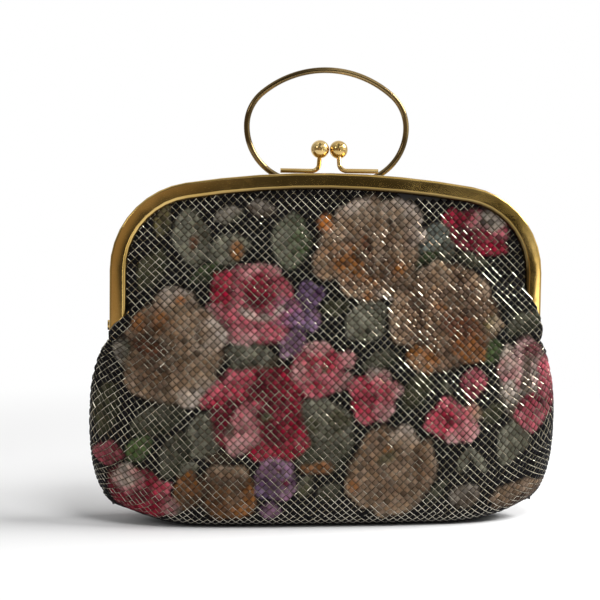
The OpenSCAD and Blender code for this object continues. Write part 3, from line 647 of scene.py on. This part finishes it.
def tiles(name, front, materials):
    """Tiles on their points over one side of the bag, on a lattice at equal lengths along the cloth's rows.
    A tile is centre + share x (right, up, left or down half diagonal) + height along its normal, for four
    rings, and a crown. Tiles past the cloth's edge are left out; the front's top rows sag at the right."""
    rows = int(profile(0.0)[3] / STEP_Z)
    b, u = np.arange(rows + 1) * STEP_Z, np.linspace(0, 1, ROW_STEPS)
    reach = np.arange(REACH) * STEP_X
    halves, overs = [], []
    for side in (-1, 1):
        lines = row(b, u, side)
        run = np.cumsum(np.linalg.norm(np.diff(lines, axis=1, prepend=lines[:, :1]), axis=2), axis=1)
        halves.append(np.stack([
            np.stack([np.interp(reach, along, line[:, axis]) for axis in range(3)], -1)
            for along, line in zip(run, lines)
        ]))
        overs.append(reach[None, :] - run[:, -1:])
    lattice = np.concatenate([halves[0][:, :0:-1], halves[1]], 1)
    over = np.concatenate([overs[0][:, :0:-1], overs[1]], 1)
    lattice = np.concatenate([lattice[1:2] * [1, -1, 1], lattice])
    over = np.concatenate([over[1:2], over])
    up, across = np.arange(1 if front else 2, rows + 1), np.arange(1, lattice.shape[1] - 1)
    k, m = (v.ravel() for v in np.meshgrid(up, across, indexing="ij"))
    around = (k, m + 1), (k + 1, m), (k, m - 1), (k - 1, m)
    kept = ((k + m) % 2 == 0) & (over[k, m] < 0) & (np.max([over[at] for at in around], 0) < HEM)
    if front:
        x, z = lattice[k, m, 0], lattice[k, m, 2]
        sag = SAG * ease((x - SAG_LEFT) / SAG_FADE) * ease((SAG_RIGHT - x) / SAG_FADE)
        kept &= z < TOP_TILE_Z - sag - DIP * ease(DIP_REACH - np.abs(x - DIP_X) / DIP_FADE)
    tips = np.stack([lattice[at][kept] for at in around], 1)
    centre = tips.mean(1)
    arms = tips - centre[:, None]
    count = len(centre)
    normal = np.cross(arms[:, 0] - arms[:, 2], arms[:, 1] - arms[:, 3])
    normal /= np.linalg.norm(normal, axis=1, keepdims=True) + 1e-9
    chance = np.random.default_rng(SEED)
    free = centre[:, 2:] > FLAT_Z
    tilt = chance.normal(0, TILT, (count, 2)) * free
    sink = np.abs(tilt).max(1)[:, None]
    lean = np.concatenate([tilt, -tilt], 1) - sink
    away = -(arms[:, 0] + arms[:, 1])[:, None]
    dent = chance.normal(0, DENT, (count, 4)) * free
    rings = [
        centre[:, None] + arms * f + away * shift + (h + lean * f - dent * bent)[..., None] * normal[:, None]
        for f, h, shift, bent in RINGS
    ]
    crown = centre + away[:, 0] * SHIFT - sink * normal
    points = np.concatenate([*rings, crown[:, None]], 1)
    i, j = np.arange(4), np.roll(np.arange(4), -1)
    start = np.arange(count)[:, None, None] * EACH
    wall = np.stack([i, j, 4 + j, 4 + i], 1)
    quads = np.concatenate([wall, wall + 4, [[3, 2, 1, 0]], wall + ENAMEL])
    which = np.tile(np.repeat([1, 0], [len(quads) - len(wall), len(wall)]), count)
    quads = (quads[None] + start).reshape(-1, 4)
    tops = np.stack([ENAMEL + 4 + i, ENAMEL + 4 + j, np.full(4, EACH - 1)], 1)
    tops = (tops[None] + start).reshape(-1, 3)
    which = np.concatenate([which, np.zeros(len(tops))])
    # Random tone of each tile, times its painted dome shade and crown highlight.
    tone_and_shade = chance.normal(1, TINT, (count, 1, 1)) * DOME_SHADE[:, None]
    ink = printed(*points[:, ENAMEL:].reshape(-1, 3).T[[0, 2]]).reshape(count, -1, 3)
    grey = ink.mean(2, keepdims=True) * WARM_GREY
    ink += (grey - ink) * chance.uniform(0, FADE, (count, 1, 1))
    colour = np.zeros((count, EACH, 4), np.float32)
    colour[:, ENAMEL:, :3] = np.clip(ink * tone_and_shade, 0, 1)
    colour[..., 3] = 1
    # Painted shade on the rims: on pale print the bare edges turn brown at random for the shade in the gaps
    # between tiles; on the black ground they stay silvery.
    pale = ease((ink[:, -1].mean(1) - BLACK_INK) / (PALE_INK - BLACK_INK))
    rim_unshaded = np.repeat(1 - pale * chance.uniform(LEAST_RIM_SHADE, 1, count), EACH)
    points = points.reshape(-1, 3)
    if not front:
        points, quads, tops = points * [1, -1, 1], quads[:, ::-1], tops[:, ::-1]
    made = solid(name, points, [quads, tops], materials, which)
    made.data.color_attributes.new("print", "FLOAT_COLOR", "POINT").data.foreach_set("color", colour.ravel())
    mark(made, "rim_unshaded", rim_unshaded)
    ends = np.empty(len(made.data.edges) * 2, np.int32)
    made.data.edges.foreach_get("vertices", ends)
    sharp = made.data.attributes.new("sharp_edge", "BOOLEAN", "EDGE")
    sharp.data.foreach_set("value", (ends.reshape(-1, 2) % EACH < ENAMEL + 4).all(1))
    return made


def enamel(shade):
    """The printed colour, with duller spots where the enamel has worn."""
    colour = shade.node("ShaderNodeAttribute", out="Color", attribute_name="print")
    spots = shade.noise(ENAMEL_SCALE, detail=3.0).between(0.45, 0.8)
    return {"Base Color": colour, "Roughness": 0.38 + spots * 0.25}


def rims(shade):
    """Bare metal, silvery, darkened to brown by painted shade where a tile's rim is marked as lying in the
    gaps' shade.
    """
    # Brown is painted shade of the gaps between tiles; silver is the metal's own colour.
    colour = shade.mark("rim_unshaded").mix(srgb(104, 86, 66), srgb(206, 200, 184))
    return {"Base Color": colour, "Roughness": 0.2 + shade.scuffs() * 0.1}


enamelled = principled("enamel", enamel, Specular_IOR_Level=0.06)
bare = principled("bare_metal", rims, Metallic=1.0)
front_tiles = tiles("front_tile_mesh", True, [enamelled, bare])
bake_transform(front_tiles)
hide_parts("front_mesh")
rear_tiles = tiles("rear_tile_mesh", False, [enamelled, bare])
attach(rear_tiles, "rear")
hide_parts("mesh_pouch")


# Clasp: two balls of gilt brass, each on a rod soldered along the top of its own frame half and bent up.
# Rods and frame give a little, so the balls snap past each other.

gold = gilt(light=srgb(228, 202, 146), dark=srgb(204, 172, 110), smooth=0.06, worn=0.1)
polished = principled("polished_brass", gold, Metallic=1.0)
dress(("rear_clasp_rod", "front_clasp_rod", "rear_clasp_ball", "front_clasp_ball"), polished)


# Handle: one closed oval of brass wire, duller than the frame.
# Its lowest run turns in two brass saddles fixed behind the rear half.

wire = gilt(light=srgb(150, 128, 88), dark=srgb(100, 83, 54), smooth=0.12, worn=0.15)
dull = principled("dull_brass", wire, Metallic=1.0)
dress(("handle_bail", "left_handle_saddle", "right_handle_saddle"), dull)


# Studio: a pale floor that fades to white, an even white surround, and three lamps.
# Metal mirrors a dim room instead: warm at the left, a window high at the right, white behind the bag, and a
# bright strip low at the right for the frame's right leg.

WHITE = 1, 1, 1, 1
PAPER = 0.86, 0.86, 0.86, 1
FLOOR, FADE_START, FADE_END = 600.0, 0.16, 0.5
EVEN = 0.3

floor = solid(
    "floor", np.array([[-FLOOR, -FLOOR, 0], [FLOOR, -FLOOR, 0], [FLOOR, FLOOR, 0], [-FLOOR, FLOOR, 0]]),
    [np.array([[0, 1, 2, 3]])], [], smooth=False,
)
material = bpy.data.materials.new("floor")
material.use_nodes = True
tree = material.node_tree
tree.nodes.clear()
shade = Shade(tree)
place = shade.node("ShaderNodeTexCoord", out="Object")
away = shade.node("ShaderNodeVectorMath", {0: place}, "Value", operation="LENGTH")
seen = shade.math("MINIMUM", shade.ray("Camera") + shade.ray("Glossy") + shade.ray("Transmission"), 1.0)
white = shade.node("ShaderNodeEmission", {"Color": WHITE, "Strength": 1.0})
paper = shade.node("ShaderNodeBsdfDiffuse", {"Color": PAPER})
fade = away.between(FADE_START, FADE_END) * seen
both = shade.node("ShaderNodeMixShader", {0: fade, 1: paper, 2: white})
tree.links.new(both.socket, tree.nodes.new("ShaderNodeOutputMaterial").inputs["Surface"])
floor.data.materials.append(material)

world = bpy.data.worlds.new("studio")
bpy.context.scene.world = world
world.use_nodes = True
shade = Shade(world.node_tree)
toward = shade.node("ShaderNodeTexCoord", out="Generated")
right, back, up = (shade.node("ShaderNodeSeparateXYZ", {0: toward}, axis) for axis in "XYZ")
room = right.between(0.25, 0.3).mix((0.075, 0.07, 0.058, 1), (0.3, 0.3, 0.26, 1))
warm = (1 - right.between(-0.03, 0.07)) * (1 - up.between(0.15, 0.45))
room = warm.mix(room, right.between(-0.35, -0.2).mix((0.3, 0.25, 0.19, 1), (0.5, 0.38, 0.27, 1)))
strip = right.between(0.268, 0.284) * (1 - right.between(0.33, 0.4)) * (1 - up.between(-0.05, -0.02))
room = strip.mix(room, (4.6, 4.5, 4.2, 1))
above = up.between(0.25, 0.45) * (1 - right.between(-0.35, -0.15))
room = above.mix(room, (0.4, 0.39, 0.35, 1))
panes = shade.node("ShaderNodeTexNoise", {"Vector": toward, "Scale": 3.0, "Detail": 1.0}).between(0.46, 0.6)
window = (right * 0.6 + up * 0.8).between(0.1, 0.75)
room = window.mix(room, panes.mix((0.26, 0.26, 0.24, 1), (1.8, 1.8, 1.7, 1)))
behind = back.between(-0.35, 0.25) * (0.3 + 0.7 * right.between(-0.8, -0.2))
mirrored = behind.mix(room, WHITE)
glossy = shade.ray("Glossy")
seen = shade.math("MINIMUM", shade.ray("Camera") + shade.ray("Transmission"), 1.0)
strength = shade.math("MAXIMUM", EVEN + seen * (1 - EVEN), glossy)
background = world.node_tree.nodes["Background"]
world.node_tree.links.new(strength.socket, background.inputs["Strength"])
world.node_tree.links.new(glossy.mix(WHITE, mirrored).socket, background.inputs["Color"])


def lamp(name, place, aim, width, height, power, glints):
    """An area lamp aimed at a point; glints says whether metal mirrors it."""
    data = bpy.data.lights.new(name, "AREA")
    data.shape, data.size, data.size_y, data.energy = "RECTANGLE", width, height, power
    made = bpy.data.objects.new(name, data)
    made.location = place
    made.rotation_euler = (Vector(aim) - Vector(place)).to_track_quat("-Z", "Y").to_euler()
    made.visible_glossy = glints
    bpy.context.scene.collection.objects.link(made)


lamp("key", (0.25, -0.6, 1.0), aim=(0, 0, 0.08), width=0.4, height=0.4, power=5.5, glints=False)
lamp("fill", (-0.7, -0.6, 0.6), aim=(0, 0, 0.08), width=0.2, height=0.2, power=0.6, glints=True)
lamp("window", (0.92, -0.1, 0.78), aim=(0.03, 0, 0.1), width=0.6, height=0.5, power=17.0, glints=True)


# Camera: a little left of the middle, at the height of the frame's shoulders, as in the photograph.
# Its place, lens, aim and roll in degrees were fitted to the frame's outline there.

CAMERA_PLACE, CAMERA_AIM, ROLL = (-0.0772, -0.5751, 0.1342), (-0.01204, 0, 0.0972), 0.715

lens = bpy.data.cameras.new("camera")
lens.sensor_width, lens.lens = 36.0, 79.44
lens.clip_start, lens.clip_end = 0.02, 20.0
camera = bpy.data.objects.new("camera", lens)
camera.location = CAMERA_PLACE
look = (Vector(CAMERA_AIM) - camera.location).to_track_quat("-Z", "Y")
camera.rotation_euler = (look @ Quaternion((0, 0, 1), math.radians(ROLL))).to_euler()
bpy.context.scene.collection.objects.link(camera)
bpy.context.scene.camera = camera
